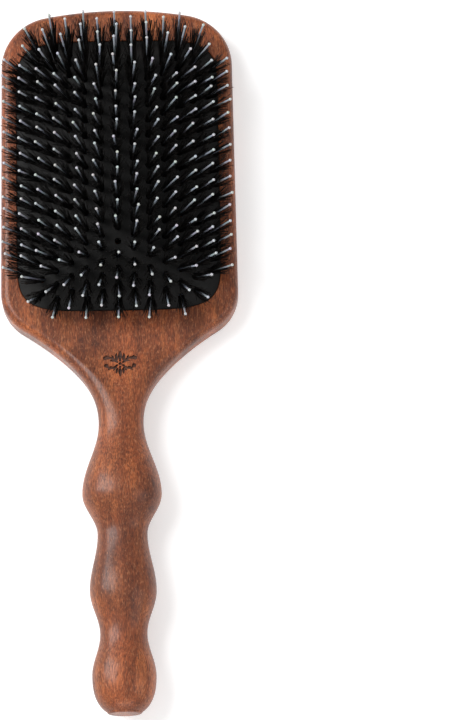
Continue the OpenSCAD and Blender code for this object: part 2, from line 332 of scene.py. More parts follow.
def small_ornament():
    right = spray(1.3, 0.9, 36, 4.4, 20, -170, 2.0, 4, 0.42)
    right += spray(1.2, -1.1, -28, 4.2, 20, 190, 1.8, 4, 0.42)
    right += [leaf(0.9, 1.2, 66, 3.0, 1.1, 40), leaf(0.8, -1.6, -64, 2.5, 0.9, -40)]
    shapes = right + [[(-x, y) for x, y in reversed(shape)] for shape in right]
    shapes += [leaf(0, 1.4, 90, 3.6, 1.5), leaf(0, -1.7, -90, 3.4, 1.3), berry(0, 0, 0.55)]
    for k in range(6):
        a = math.radians(60 * k + 30)
        shapes.append(leaf(0.8 * math.cos(a), 0.8 * math.sin(a), 60 * k + 30, 1.3, 0.8))
    return shapes


def front_height(s):
    """The height of the front between the head and the neck."""
    return centre_height(s) + half_depth(s, neck_width / 2)


def mark_cutter(name, shapes, centre_s, depth, front):
    """One iron for an ornament: its overlapping shapes made one, sinking evenly below the wood's surface."""
    points, faces = [], []
    for shape in shapes:
        area = sum(x0 * y1 - x1 * y0 for (x0, y0), (x1, y1) in zip(shape, shape[1:] + shape[:1]))
        faces.append(list(range(len(points), len(points) + len(shape))))
        points += [Vector(p) for p in (shape if area > 0 else shape[::-1])]
    flat, _, pieces, _, _, source = delaunay_2d_cdt(points, [], faces, 0, 1e-3)
    pieces = [piece for piece, which in zip(pieces, source) if which]
    mesh = bmesh.new()
    ends = []
    for inner in (True, False):
        end = []
        for p in flat:
            s = centre_s - p.y
            face = front_height(s) if front else 0.0
            outwards = 1.0 if front else -1.0
            z = face - outwards * depth if inner else face + outwards
            end.append(mesh.verts.new((p.x, brush_length / 2 - s, z)))
        ends.append(end)
    inner, outer = ends
    for piece in pieces:
        mesh.faces.new([inner[i] for i in piece])
        mesh.faces.new([outer[i] for i in reversed(piece)])
    mesh.verts.index_update()
    for e in [e for e in mesh.edges if e.is_boundary]:
        a, b = (v.index for v in e.verts)
        if a < len(flat) and b < len(flat):
            mesh.faces.new((inner[a], inner[b], outer[b], outer[a]))
    bmesh.ops.delete(mesh, geom=[v for v in mesh.verts if not v.link_faces], context="VERTS")
    bmesh.ops.recalc_face_normals(mesh, faces=mesh.faces)
    data = bpy.data.meshes.new(name)
    mesh.to_mesh(data)
    mesh.free()
    return data


def fill_ramp(ramp, stops):
    """Sets a colour ramp to those places and colours."""
    ramp.elements[0].position, ramp.elements[0].color = stops[0]
    ramp.elements[1].position, ramp.elements[1].color = stops[-1]
    for place, colour in stops[1:-1]:
        ramp.elements.new(place).color = colour


def grey(level):
    return level, level, level, 1


def grain_group():
    """Colour, roughness and relief of an open-pored hardwood, with its grain along the brush."""
    group = bpy.data.node_groups.new("hardwood grain", "ShaderNodeTree")
    face = group.interface
    face.new_socket("Place", in_out="INPUT", socket_type="NodeSocketVector")
    face.new_socket("Depth of stain and painted shade", in_out="INPUT", socket_type="NodeSocketFloat")
    for name, kind in (("Color", "Color"), ("Roughness", "Float"), ("Height", "Float")):
        face.new_socket(name, in_out="OUTPUT", socket_type="NodeSocket" + kind)
    nodes, links = group.nodes, group.links
    inlet, outlet = nodes.new("NodeGroupInput"), nodes.new("NodeGroupOutput")

    def scaled(source, x, y, z, shift=0.0):
        node = nodes.new("ShaderNodeMapping")
        node.inputs["Scale"].default_value = (x, y, z)
        node.inputs["Location"].default_value = (shift, shift * 1.7, shift * 0.6)
        links.new(source, node.inputs["Vector"])
        return node.outputs["Vector"]

    def noise(source, detail=2.0, rough=0.5, bend=0.0):
        node = nodes.new("ShaderNodeTexNoise")
        node.inputs["Scale"].default_value = 1.0
        node.inputs["Detail"].default_value = detail
        node.inputs["Roughness"].default_value = rough
        node.inputs["Distortion"].default_value = bend
        links.new(source, node.inputs["Vector"])
        return node.outputs["Fac"]

    def ramp(source, stops):
        node = nodes.new("ShaderNodeValToRGB")
        fill_ramp(node.color_ramp, stops)
        links.new(source, node.inputs["Fac"])
        return node.outputs["Color"]

    def blend(kind, amount, a, b):
        node = nodes.new("ShaderNodeMix")
        node.data_type = "RGBA"
        node.blend_type = kind
        node.clamp_factor = True
        if isinstance(amount, float):
            node.inputs[0].default_value = amount
        else:
            links.new(amount, node.inputs[0])
        for value, socket in ((a, node.inputs[6]), (b, node.inputs[7])):
            if isinstance(value, tuple):
                socket.default_value = value
            else:
                links.new(value, socket)
        return node.outputs[2]

    def arithmetic(kind, a, b):
        node = nodes.new("ShaderNodeMath")
        node.operation = kind
        for value, socket in ((a, node.inputs[0]), (b, node.inputs[1])):
            if isinstance(value, float):
                socket.default_value = value
            else:
                links.new(value, socket)
        return node.outputs[0]

    # The board's own waviness pushes every layer sideways together
    wavy = nodes.new("ShaderNodeTexNoise")
    wavy.inputs["Scale"].default_value = 1.0
    wavy.inputs["Detail"].default_value = 1.0
    links.new(scaled(inlet.outputs["Place"], 28, 9, 28), wavy.inputs["Vector"])
    push = nodes.new("ShaderNodeVectorMath")
    push.operation = "MULTIPLY_ADD"
    links.new(wavy.outputs["Color"], push.inputs[0])
    push.inputs[1].default_value = (0.006, 0.0, 0.006)
    links.new(inlet.outputs["Place"], push.inputs[2])
    board = push.outputs["Vector"]

    # Growth bands, cloudy figure, fibre, pale flecks and open pores, all drawn out along the brush
    bands = noise(scaled(board, 210, 7, 210), 3.0, 0.6)
    cloud = noise(scaled(board, 60, 26, 60, 3.1), 4.0, 0.6, 0.6)
    fibre = noise(scaled(board, 2500, 430, 2500, 5.3), 3.0, 0.65)
    fleck = noise(scaled(board, 1900, 640, 1900, 7.9), 2.0, 0.6)
    pores = noise(scaled(board, 2600, 620, 2600, 11.7), 1.0, 0.5)
    colour = ramp(bands, [(0.28, (0.13, 0.032, 0.010, 1)), (0.46, (0.215, 0.054, 0.017, 1)),
                          (0.62, (0.31, 0.089, 0.027, 1)), (0.8, (0.42, 0.138, 0.045, 1))])
    tone = ramp(cloud, [(0.3, (0.31, 0.26, 0.24, 1)), (0.5, (0.86, 0.84, 0.83, 1)),
                        (0.7, (1.48, 1.44, 1.38, 1))])
    colour = blend("MULTIPLY", 1.0, colour, tone)
    thread = ramp(fibre, [(0.32, (0.36, 0.31, 0.29, 1)), (0.5, (1, 1, 1, 1)), (0.68, (1.75, 1.8, 1.8, 1))])
    colour = blend("MULTIPLY", 0.9, colour, thread)
    light = ramp(fleck, [(0.54, grey(0)), (0.74, grey(1))])
    colour = blend("MIX", arithmetic("MULTIPLY", light, 0.5), colour, (0.58, 0.235, 0.105, 1))
    dark = ramp(pores, [(0.6, grey(0)), (0.7, grey(1))])
    colour = blend("MIX", arithmetic("MULTIPLY", dark, 0.55), colour, (0.06, 0.017, 0.009, 1))
    # The depth input darkens the wood towards a deep stain colour; it carries both real stain and painted
    # shade.
    colour = blend("MIX", inlet.outputs["Depth of stain and painted shade"], colour, (0.085, 0.024, 0.012, 1))
    links.new(colour, outlet.inputs["Color"])
    dull = arithmetic("ADD", arithmetic("MULTIPLY", fibre, 0.14), arithmetic("MULTIPLY", dark, 0.25))
    height = arithmetic("ADD", arithmetic("MULTIPLY", fibre, 0.3), arithmetic("MULTIPLY", dark, -1.0))
    links.new(dull, outlet.inputs["Roughness"])
    links.new(height, outlet.inputs["Height"])
    return group


def new_finish(name):
    """An empty finish: its material, nodes, links, shader, and the place on the piece."""
    material = bpy.data.materials.new(name)
    material.use_nodes = True
    nodes, links = material.node_tree.nodes, material.node_tree.links
    return material, nodes, links, nodes["Principled BSDF"], nodes.new("ShaderNodeTexCoord").outputs["Object"]


def add_relief(nodes, links, height, strength, distance):
    """Raises the surface where height is high, by a distance in millimetres."""
    relief = nodes.new("ShaderNodeBump")
    relief.inputs["Strength"].default_value = strength
    relief.inputs["Distance"].default_value = distance * MM
    links.new(height, relief.inputs["Height"])
    links.new(relief.outputs["Normal"], nodes["Principled BSDF"].inputs["Normal"])


def add_tint(nodes, links, amount, stops):
    """Colours the surface from one of the stops to the next as amount rises."""
    tint = nodes.new("ShaderNodeValToRGB")
    fill_ramp(tint.color_ramp, stops)
    links.new(amount, tint.inputs["Fac"])
    links.new(tint.outputs["Color"], nodes["Principled BSDF"].inputs["Base Color"])


def mottle(nodes, links, place, scale, detail=2.0):
    """An uneven pattern, with about scale patches to the metre."""
    noise = nodes.new("ShaderNodeTexNoise")
    noise.inputs["Scale"].default_value = scale
    noise.inputs["Detail"].default_value = detail
    links.new(place, noise.inputs["Vector"])
    return noise


def lacquered_wood():
    material, nodes, links, shader, place = new_finish("satin_lacquered_hardwood")
    grain = nodes.new("ShaderNodeGroup")
    grain.node_tree = grain_group()
    links.new(place, grain.inputs["Place"])
    # Darker in the waists of the handle, by the neck and at its end: stain that gathers there, with the waists
    # and the neck deepened as painted shade
    apart = nodes.new("ShaderNodeSeparateXYZ")
    links.new(place, apart.inputs["Vector"])
    along = nodes.new("ShaderNodeMapRange")
    along.inputs["From Min"].default_value = brush_length / 2 * MM
    along.inputs["From Max"].default_value = -brush_length / 2 * MM
    links.new(apart.outputs["Y"], along.inputs["Value"])
    stain_and_painted_shade = nodes.new("ShaderNodeValToRGB")
    stain_and_painted_shade.color_ramp.interpolation = "B_SPLINE"
    # Painted shade: the waists and the neck are darkest and the swellings are left light, as if light fell on
    # the turned handle.
    stain_and_shade_depths = [(0, 0.0), (head_length, 0.06), (neck_at + 3, 0.22), (swell1_at, 0.0), (waist1_at, 0.5),
               (swell2_at, 0.1), (waist2_at, 0.48), (swell3_at, 0.0), (brush_length, 0.35)]
    fill_ramp(stain_and_painted_shade.color_ramp, [(s / brush_length, grey(depth)) for s, depth in stain_and_shade_depths])
    links.new(along.outputs["Result"], stain_and_painted_shade.inputs["Fac"])
    links.new(stain_and_painted_shade.outputs["Color"], grain.inputs["Depth of stain and painted shade"])
    links.new(grain.outputs["Color"], shader.inputs["Base Color"])
    gloss = nodes.new("ShaderNodeMath")
    gloss.operation = "ADD"
    gloss.inputs[1].default_value = 0.4
    links.new(grain.outputs["Roughness"], gloss.inputs[0])
    links.new(gloss.outputs[0], shader.inputs["Roughness"])
    add_relief(nodes, links, grain.outputs["Height"], 0.35, 0.12)
    shader.inputs["Specular IOR Level"].default_value = 0.3
    shader.inputs["Coat Weight"].default_value = 0.25
    shader.inputs["Coat Roughness"].default_value = 0.2
    return material


def scorched_wood():
    material, nodes, links, shader, place = new_finish("scorched_wood")
    char = mottle(nodes, links, place, 700, 3)
    add_tint(nodes, links, char.outputs["Fac"], [(0.35, (0.035, 0.012, 0.007, 1)),
                                                 (0.7, (0.11, 0.038, 0.02, 1))])
    add_relief(nodes, links, char.outputs["Fac"], 0.5, 0.1)
    shader.inputs["Roughness"].default_value = 0.7
    return material


def settle(piece):
    """Makes a piece's modifiers part of its mesh."""
    bpy.context.view_layer.update()
    plain = bpy.data.meshes.new_from_object(piece.evaluated_get(bpy.context.evaluated_depsgraph_get()))
    piece.modifiers.clear()
    piece.data = plain


finishes = (lacquered_wood(), scorched_wood())
body = bpy.data.objects.new("wooden_body_shaped", turned_body())
bpy.context.collection.objects.link(body)
for finish in finishes:
    body.data.materials.append(finish)
cutters = [(recess_cutter(), 0),
           (mark_cutter("back_mark", ornament(), back_mark_at, back_mark_depth, False), 1),
           (mark_cutter("neck_mark", small_ornament(), neck_mark_at, neck_mark_depth, True), 1)]
for data, finish_at in cutters:
    cutter = bpy.data.objects.new(data.name, data)
    bpy.context.collection.objects.link(cutter)
    for finish in finishes:
        data.materials.append(finish)
    data.polygons.foreach_set("material_index", [finish_at] * len(data.polygons))
    cut = body.modifiers.new("cut", "BOOLEAN")
    cut.operation = "DIFFERENCE"
    cut.solver = "EXACT"
    cut.material_mode = "INDEX"
    cut.object = cutter
settle(body)
for data, _ in cutters:
    bpy.data.objects.remove(bpy.data.objects[data.name])
body.data.transform(Matrix.Scale(MM, 4))
body.data.polygons.foreach_set("use_smooth", [True] * len(body.data.polygons))
body.data.set_sharp_from_angle(angle=math.radians(32))
level = body.modifiers.new("level", "WEIGHTED_NORMAL")
level.keep_sharp = True
level.weight = 100
settle(body)
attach(body, "brush_body")
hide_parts("wooden_body")

# ---- Rubber cushion and its backing cloth
# The cushion is a moulded sheet of soft black rubber, domed to hold air under it. Its flat rim is bonded to
# the ledge of the recess. A woven cloth is bonded under the dome. Both are punched for the tufts and one vent.
dome_rise = 11.0
rubber_thickness = 1.4
glue_film = 0.02
cloth_thickness = 0.5
dome_z = ledge_z + rim_thickness
half_columns = 6
half_rows = 9
side_squeeze = 0.07
end_squeeze = 0.8
columns_reach = 0.995           # where the last column would be, of the dome's half width
rows_reach = 0.891              # and the last row, of the dome's rounded end
column_pitch = columns_reach * dome_half / half_columns
row_pitch = (mid_line + rows_reach * dome_end / end_squeeze) / half_rows
edge_share = 0.95
zone_count = 5
vent = (0, -5)                  # its column and row, in place of a tuft
hole_radius = 1.17
lip_height = 0.16
lip_width = 0.45
cloth_share = 0.97


def share_out(x, y):
    """How far out of the middle line a place is, from 0 to 1 at the dome's edge."""
    u = abs(x) / dome_half
    v = max(0.0, abs(y) - mid_line) / dome_end
    return (u ** corner_power + v ** corner_power) ** (1 / corner_power)


def dome_height(share):
    return dome_rise * (1 - share * share)


def dome_up(x, y):
    """The way straight out of the dome at a place."""
    e = 0.02
    gx = (dome_height(share_out(x + e, y)) - dome_height(share_out(x - e, y))) / (2 * e)
    gy = (dome_height(share_out(x, y + e)) - dome_height(share_out(x, y - e))) / (2 * e)
    return Vector((-gx, -gy, 1)).normalized()


def downhill(up):
    """The direction in plan in which the dome falls."""
    lean = Vector((up.x, up.y))
    return lean.normalized() if lean.length > 1e-6 else Vector((1, 0))


def tuft_place(c, r):
    """Tufts stand evenly along the rubber, so they are closer together in plan where the dome is steep."""
    x = c * column_pitch * (1 - side_squeeze * abs(c) / half_columns)
    k = r + (0.5 if c % 2 else 0)
    t = abs(k) * row_pitch
    return x, math.copysign(t if t < mid_line else mid_line + (t - mid_line) * end_squeeze, k)


tuft_places = []
for c in range(-half_columns, half_columns + 1):
    for r in range(-half_rows, half_rows + 1):
        x, y = tuft_place(c, r)
        if share_out(x, y) < edge_share and (c, r) != vent:
            tuft_places.append((x, y))
vent_place = tuft_place(*vent)


def punched_sheet(name, outline, height, thickness, low_limit, lip):
    """A domed sheet with a hole for every tuft and the vent, meshed flat and then raised."""
    points, edges = [], []
    mesh_step = 1.15
    hole_sides = 14
    collar_width = 0.35
    bare_round_hole = 1.9
    bare_at_edge = 0.6

    def ring(cx, cy, r, closed):
        up = dome_up(cx, cy)
        along = downhill(up)
        start = len(points)
        for i in range(hole_sides):
            a = math.tau * i / hole_sides
            p, q = r * math.cos(a) / up.z, r * math.sin(a)
            points.append(Vector((cx + along.x * p - along.y * q, cy + along.y * p + along.x * q)))
            if closed:
                edges.append((start + i, start + (i + 1) % hole_sides))

    start = len(points)
    points.extend(Vector(p) for p in outline)
    edges.extend((start + i, start + (i + 1) % len(outline)) for i in range(len(outline)))
    inside = tuft_places + [vent_place]
    for x, y in inside:
        ring(x, y, hole_radius, True)
        ring(x, y, hole_radius + collar_width, False)
    edge = max(abs(x) for x, _ in outline) - bare_at_edge
    for i in range(-40, 41):
        for j in range(-50, 51):
            x, y = (i + (0.5 if j % 2 else 0)) * mesh_step, j * mesh_step * 0.87
            near = min((x - a) ** 2 + (y - b) ** 2 for a, b in inside)
            if near > bare_round_hole ** 2 and share_out(x, y) < min(0.985, edge / dome_half):
                points.append(Vector((x, y)))
    flat_points, _, faces, _, _, _ = delaunay_2d_cdt(points, edges, [], 0, 1e-5)

    def in_hole(cx, cy):
        for a, b in inside:
            if abs(cx - a) < 2 and abs(cy - b) < 2:
                up = dome_up(a, b)
                along = downhill(up)
                p = ((cx - a) * along.x + (cy - b) * along.y) * up.z
                q = -(cx - a) * along.y + (cy - b) * along.x
                if p * p + q * q < (hole_radius * 0.985) ** 2:
                    return True
        return False

    keep = [f for f in faces if not in_hole(sum(flat_points[i].x for i in f) / len(f),
                                            sum(flat_points[i].y for i in f) / len(f))]
    mesh = bmesh.new()
    upper, lower = [], []
    for p in flat_points:
        up = dome_up(p.x, p.y)
        d = share_out(p.x, p.y)
        near = min(math.hypot(p.x - a, p.y - b) for a, b in inside)
        swell = lip * math.exp(-((near - hole_radius) / lip_width) ** 2)
        z = height + max(0.0, dome_height(d)) + swell
        upper.append(mesh.verts.new((p.x * MM, (pad_y + p.y) * MM, z * MM)))
        if d >= 0.999:
            lower.append(mesh.verts.new((p.x * MM, (pad_y + p.y) * MM, low_limit * MM)))
        else:
            t = thickness * up.z
            low_z = max(low_limit, z - swell - up.z * t)
            lower.append(mesh.verts.new(((p.x - up.x * t) * MM, (pad_y + p.y - up.y * t) * MM, low_z * MM)))
    for f in keep:
        a, b, c = f
        if (flat_points[b] - flat_points[a]).cross(flat_points[c] - flat_points[a]) < 0:
            b, c = c, b
        mesh.faces.new((upper[a], upper[b], upper[c]))
        mesh.faces.new((lower[c], lower[b], lower[a]))
    below = dict(zip(upper, lower))
    for e in [e for e in mesh.edges if e.is_boundary]:
        a, b = e.verts
        if a in below and b in below:
            corners = list(e.link_faces[0].verts)
            if corners[(corners.index(a) + 1) % 3] is b:
                a, b = b, a
            mesh.faces.new((a, b, below[b], below[a]))
    bmesh.ops.delete(mesh, geom=[v for v in mesh.verts if not v.link_faces], context="VERTS")
    data = bpy.data.meshes.new(name)
    mesh.to_mesh(data)
    mesh.free()
    data.polygons.foreach_set("use_smooth", [True] * len(data.polygons))
    data.set_sharp_from_angle(angle=math.radians(50))
    return data


def add_gloss(nodes, links, amount, smooth, rough):
    """Varies the surface from smooth to rough as amount rises."""
    gloss = nodes.new("ShaderNodeMapRange")
    gloss.inputs["To Min"].default_value = smooth
    gloss.inputs["To Max"].default_value = rough
    links.new(amount, gloss.inputs["Value"])
    links.new(gloss.outputs["Result"], nodes["Principled BSDF"].inputs["Roughness"])


def soft_rubber():
    material, nodes, links, shader, place = new_finish("soft_black_rubber")
    bloom = mottle(nodes, links, place, 160, 5)
    add_tint(nodes, links, bloom.outputs["Fac"], [(0.3, grey(0.006)), (0.75, (0.013, 0.0125, 0.012, 1))])
    skin = mottle(nodes, links, place, 2200)
    add_gloss(nodes, links, skin.outputs["Fac"], 0.48, 0.72)
    add_relief(nodes, links, skin.outputs["Fac"], 0.25, 0.08)
    shader.inputs["Specular IOR Level"].default_value = 0.18
    return material


def woven_cloth():
    material, nodes, links, shader, place = new_finish("woven_backing")
    weave = []
    for turn in (0.0, math.pi / 2):
        thread = nodes.new("ShaderNodeTexWave")
        thread.inputs["Scale"].default_value = 420
        thread.inputs["Distortion"].default_value = 0.6
        lay = nodes.new("ShaderNodeMapping")
        lay.inputs["Rotation"].default_value = (0, 0, turn)
        links.new(place, lay.inputs["Vector"])
        links.new(lay.outputs["Vector"], thread.inputs["Vector"])
        weave.append(thread.outputs["Fac"])
    cross = nodes.new("ShaderNodeMath")
    cross.operation = "MULTIPLY"
    links.new(weave[0], cross.inputs[0])
    links.new(weave[1], cross.inputs[1])
    add_tint(nodes, links, cross.outputs[0], [(0.0, (0.03, 0.028, 0.026, 1)), (1.0, (0.13, 0.12, 0.11, 1))])
    add_relief(nodes, links, cross.outputs[0], 0.5, 0.1)
    shader.inputs["Roughness"].default_value = 0.95
    return material


cloth_outline = [(x * cloth_share, y * cloth_share) for x, y in pad_contour(0)]
cloth_z = dome_z - rubber_thickness - glue_film
no_limit = -99.0
rubber_mesh = punched_sheet("rubber_dome", pad_contour(rim_width), dome_z, rubber_thickness, ledge_z,
                            lip_height)
cloth_mesh = punched_sheet("cloth_lining", cloth_outline, cloth_z, cloth_thickness, no_limit, 0.0)
for data, finish, node, slot in ((rubber_mesh, soft_rubber(), "rubber_cushion", "rubber"),
                                 (cloth_mesh, woven_cloth(), "backing_cloth", "cloth")):
    piece = bpy.data.objects.new(data.name, data)
    bpy.context.collection.objects.link(piece)
    data.materials.append(finish)
    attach(piece, "brush_body")
    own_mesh(piece)
    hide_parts(node)

# ---- Nylon pins
# One moulded nylon pin stands in the middle of every tuft. It is longer than the bristle, and has a small
# ball on its tip to spare the scalp. Its flat head is caught under the cloth.
pin_length = 16.0
pin_diameter = 0.75
ball_diameter = 1.05
pin_root = 3.5                  # how far the pin goes down through the rubber and the cloth
pin_head_diameter = 2.2
pin_head_thickness = 0.6
pin_head_at = -3.2
pin_lean = 0.05


def zone_of(x, y):
    return min(zone_count, 1 + int(share_out(x, y) / edge_share * zone_count))


def places_mesh(name, zone):
    """The feet of one zone's tufts on the rubber, each with the dome's upward direction."""
    feet = [(x, y) for x, y in tuft_places if zone_of(x, y) == zone]
    data = bpy.data.meshes.new(name)
    data.from_pydata([(x * MM, (pad_y + y) * MM, (dome_z + dome_height(share_out(x, y))) * MM)
                      for x, y in feet], [], [])
    up = data.attributes.new("dome_up", "FLOAT_VECTOR", "POINT")
    up.data.foreach_set("vector", [v for x, y in feet for v in dome_up(x, y)])
    return data


def tree_with_inputs(name, inputs):
    tree = bpy.data.node_groups.new(name, "GeometryNodeTree")
    tree.interface.new_socket("Geometry", in_out="INPUT", socket_type="NodeSocketGeometry")
    for label, kind in inputs:
        tree.interface.new_socket(label, in_out="INPUT", socket_type=kind)
    tree.interface.new_socket("Geometry", in_out="OUTPUT", socket_type="NodeSocketGeometry")
    return tree, tree.nodes.new("NodeGroupInput"), tree.nodes.new("NodeGroupOutput")


def grown(name, data, tree, values):
    """Runs a tree on the feet in data with those named values, and returns a plain piece."""
    piece = bpy.data.objects.new(name, data)
    bpy.context.collection.objects.link(piece)
    run = piece.modifiers.new("grow", "NODES")
    run.node_group = tree
    for item in tree.interface.items_tree:
        if item.in_out == "INPUT" and item.name in values:
            run[item.identifier] = values[item.name]
    settle(piece)
    return piece


def pin_tree(finish):
    """Sets a pin on every foot: a tapered shaft, a ball at its tip and a flat head below the rubber."""
    tree, inlet, outlet = tree_with_inputs("nylon pins", (
        ("Length", "NodeSocketFloat"), ("Diameter", "NodeSocketFloat"), ("Ball", "NodeSocketFloat"),
        ("Lean", "NodeSocketFloat"), ("Seed", "NodeSocketInt")))
    nodes, links = tree.nodes, tree.links

    def math_node(kind, a, b):
        node = nodes.new("ShaderNodeMath")
        node.operation = kind
        for value, socket in ((a, node.inputs[0]), (b, node.inputs[1])):
            if isinstance(value, (int, float)):
                socket.default_value = value
            else:
                links.new(value, socket)
        return node.outputs[0]

    shaft = nodes.new("GeometryNodeMeshCone")
    shaft.inputs["Vertices"].default_value = 8
    shaft.inputs["Side Segments"].default_value = 1
    shaft.fill_type = "NONE"
    links.new(math_node("MULTIPLY", inlet.outputs["Diameter"], 0.42), shaft.inputs["Radius Top"])
    links.new(math_node("MULTIPLY", inlet.outputs["Diameter"], 0.5), shaft.inputs["Radius Bottom"])
    links.new(math_node("ADD", inlet.outputs["Length"], pin_root * MM), shaft.inputs["Depth"])
    lower = nodes.new("GeometryNodeTransform")
    drop = nodes.new("ShaderNodeCombineXYZ")
    drop.inputs["Z"].default_value = -pin_root * MM
    links.new(drop.outputs["Vector"], lower.inputs["Translation"])
    links.new(shaft.outputs["Mesh"], lower.inputs["Geometry"])
    ball = nodes.new("GeometryNodeMeshUVSphere")
    ball.inputs["Segments"].default_value = 8
    ball.inputs["Rings"].default_value = 6
    ball_radius = math_node("MULTIPLY", inlet.outputs["Ball"], 0.5)
    links.new(ball_radius, ball.inputs["Radius"])
    lift = nodes.new("GeometryNodeTransform")
    raise_by = nodes.new("ShaderNodeCombineXYZ")
    links.new(math_node("SUBTRACT", inlet.outputs["Length"], ball_radius), raise_by.inputs["Z"])
    links.new(raise_by.outputs["Vector"], lift.inputs["Translation"])
    links.new(ball.outputs["Mesh"], lift.inputs["Geometry"])
    head = nodes.new("GeometryNodeMeshCylinder")
    head.inputs["Vertices"].default_value = 10
    head.inputs["Radius"].default_value = pin_head_diameter / 2 * MM
    head.inputs["Depth"].default_value = pin_head_thickness * MM
    sink = nodes.new("GeometryNodeTransform")
    sink.inputs["Translation"].default_value = (0, 0, pin_head_at * MM)
    links.new(head.outputs["Mesh"], sink.inputs["Geometry"])
    parts = nodes.new("GeometryNodeJoinGeometry")
    for part in (lower, lift, sink):
        links.new(part.outputs["Geometry"], parts.inputs["Geometry"])
    smooth = nodes.new("GeometryNodeSetShadeSmooth")
    links.new(parts.outputs["Geometry"], smooth.inputs["Geometry"])
    along = nodes.new("GeometryNodeInputPosition")
    apart = nodes.new("ShaderNodeSeparateXYZ")
    links.new(along.outputs["Position"], apart.inputs["Vector"])
    tip = nodes.new("GeometryNodeStoreNamedAttribute")
    tip.data_type = "FLOAT"
    tip.domain = "POINT"
    tip.inputs["Name"].default_value = "from_foot"
    links.new(smooth.outputs["Geometry"], tip.inputs["Geometry"])
    links.new(math_node("DIVIDE", apart.outputs["Z"], inlet.outputs["Length"]), tip.inputs["Value"])

    up = nodes.new("GeometryNodeInputNamedAttribute")
    up.data_type = "FLOAT_VECTOR"
    up.inputs["Name"].default_value = "dome_up"
    stray = nodes.new("FunctionNodeRandomValue")
    stray.data_type = "FLOAT_VECTOR"
    stray.inputs["Min"].default_value = (-1, -1, 0)
    stray.inputs["Max"].default_value = (1, 1, 0)
    links.new(inlet.outputs["Seed"], stray.inputs["Seed"])
    amount = nodes.new("ShaderNodeVectorMath")
    amount.operation = "SCALE"
    links.new(stray.outputs["Value"], amount.inputs[0])
    links.new(inlet.outputs["Lean"], amount.inputs["Scale"])
    aim = nodes.new("ShaderNodeVectorMath")
    aim.operation = "ADD"
    links.new(up.outputs["Attribute"], aim.inputs[0])
    links.new(amount.outputs["Vector"], aim.inputs[1])
    turn = nodes.new("FunctionNodeAlignRotationToVector")
    turn.axis = "Z"
    links.new(aim.outputs["Vector"], turn.inputs["Vector"])
    plant = nodes.new("GeometryNodeInstanceOnPoints")
    links.new(inlet.outputs["Geometry"], plant.inputs["Points"])
    links.new(tip.outputs["Geometry"], plant.inputs["Instance"])
    links.new(turn.outputs["Rotation"], plant.inputs["Rotation"])
    real = nodes.new("GeometryNodeRealizeInstances")
    links.new(plant.outputs["Instances"], real.inputs["Geometry"])
    paint = nodes.new("GeometryNodeSetMaterial")
    paint.inputs["Material"].default_value = finish
    links.new(real.outputs["Geometry"], paint.inputs["Geometry"])
    links.new(paint.outputs["Geometry"], outlet.inputs["Geometry"])
    return tree


def clear_nylon():
    material, nodes, links, shader, place = new_finish("clear_grey_nylon")
    foot = nodes.new("ShaderNodeAttribute")
    foot.attribute_name = "from_foot"
    cloudy = mottle(nodes, links, place, 300)
    tint = nodes.new("ShaderNodeValToRGB")
    # Darker towards the foot and paler up the shaft; the pale ball at the tip is a painted highlight.
    fill_ramp(tint.color_ramp, [(0.0, (0.22, 0.25, 0.30, 1)), (0.5, (0.36, 0.40, 0.46, 1)),
                                (0.9, (0.44, 0.48, 0.54, 1)), (0.97, (0.66, 0.68, 0.70, 1))])
    links.new(foot.outputs["Fac"], tint.inputs["Fac"])
    shade = nodes.new("ShaderNodeMix")
    shade.data_type = "RGBA"
    shade.blend_type = "MULTIPLY"
    shade.inputs[0].default_value = 0.35
    links.new(tint.outputs["Color"], shade.inputs[6])
    links.new(cloudy.outputs["Color"], shade.inputs[7])
    links.new(shade.outputs[2], shader.inputs["Base Color"])
    add_gloss(nodes, links, cloudy.outputs["Fac"], 0.12, 0.32)
    shader.inputs["IOR"].default_value = 1.53
    return material


pins = pin_tree(clear_nylon())
for zone in range(1, zone_count + 1):
    piece = grown(f"nylon_pins_zone{zone}", places_mesh(f"pin_feet_zone{zone}", zone), pins, {
        "Length": pin_length * MM, "Diameter": pin_diameter * MM, "Ball": ball_diameter * MM,
        "Lean": pin_lean, "Seed": zone})
    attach(piece, f"zone{zone}")
    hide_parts(f"pins_zone{zone}", f"lead_pins_zone{zone}")

# ---- Bristle tufts
# Each tuft is a pinch of black natural bristle, bound at its root and pulled through the rubber round its
# pin. The bristles open outwards, differ a little in length, and each has a slight bend of its own.
tuft_root = 1.2                 # how deep the bristles start below the top of the rubber
bristle_length = 14.2           # of the longest ones, from the root
tuft_radius = 0.75
tuft_spread = 0.18
bristle_thickness = 0.24
bristle_bend = 1.0
bristles_in_tuft = 44


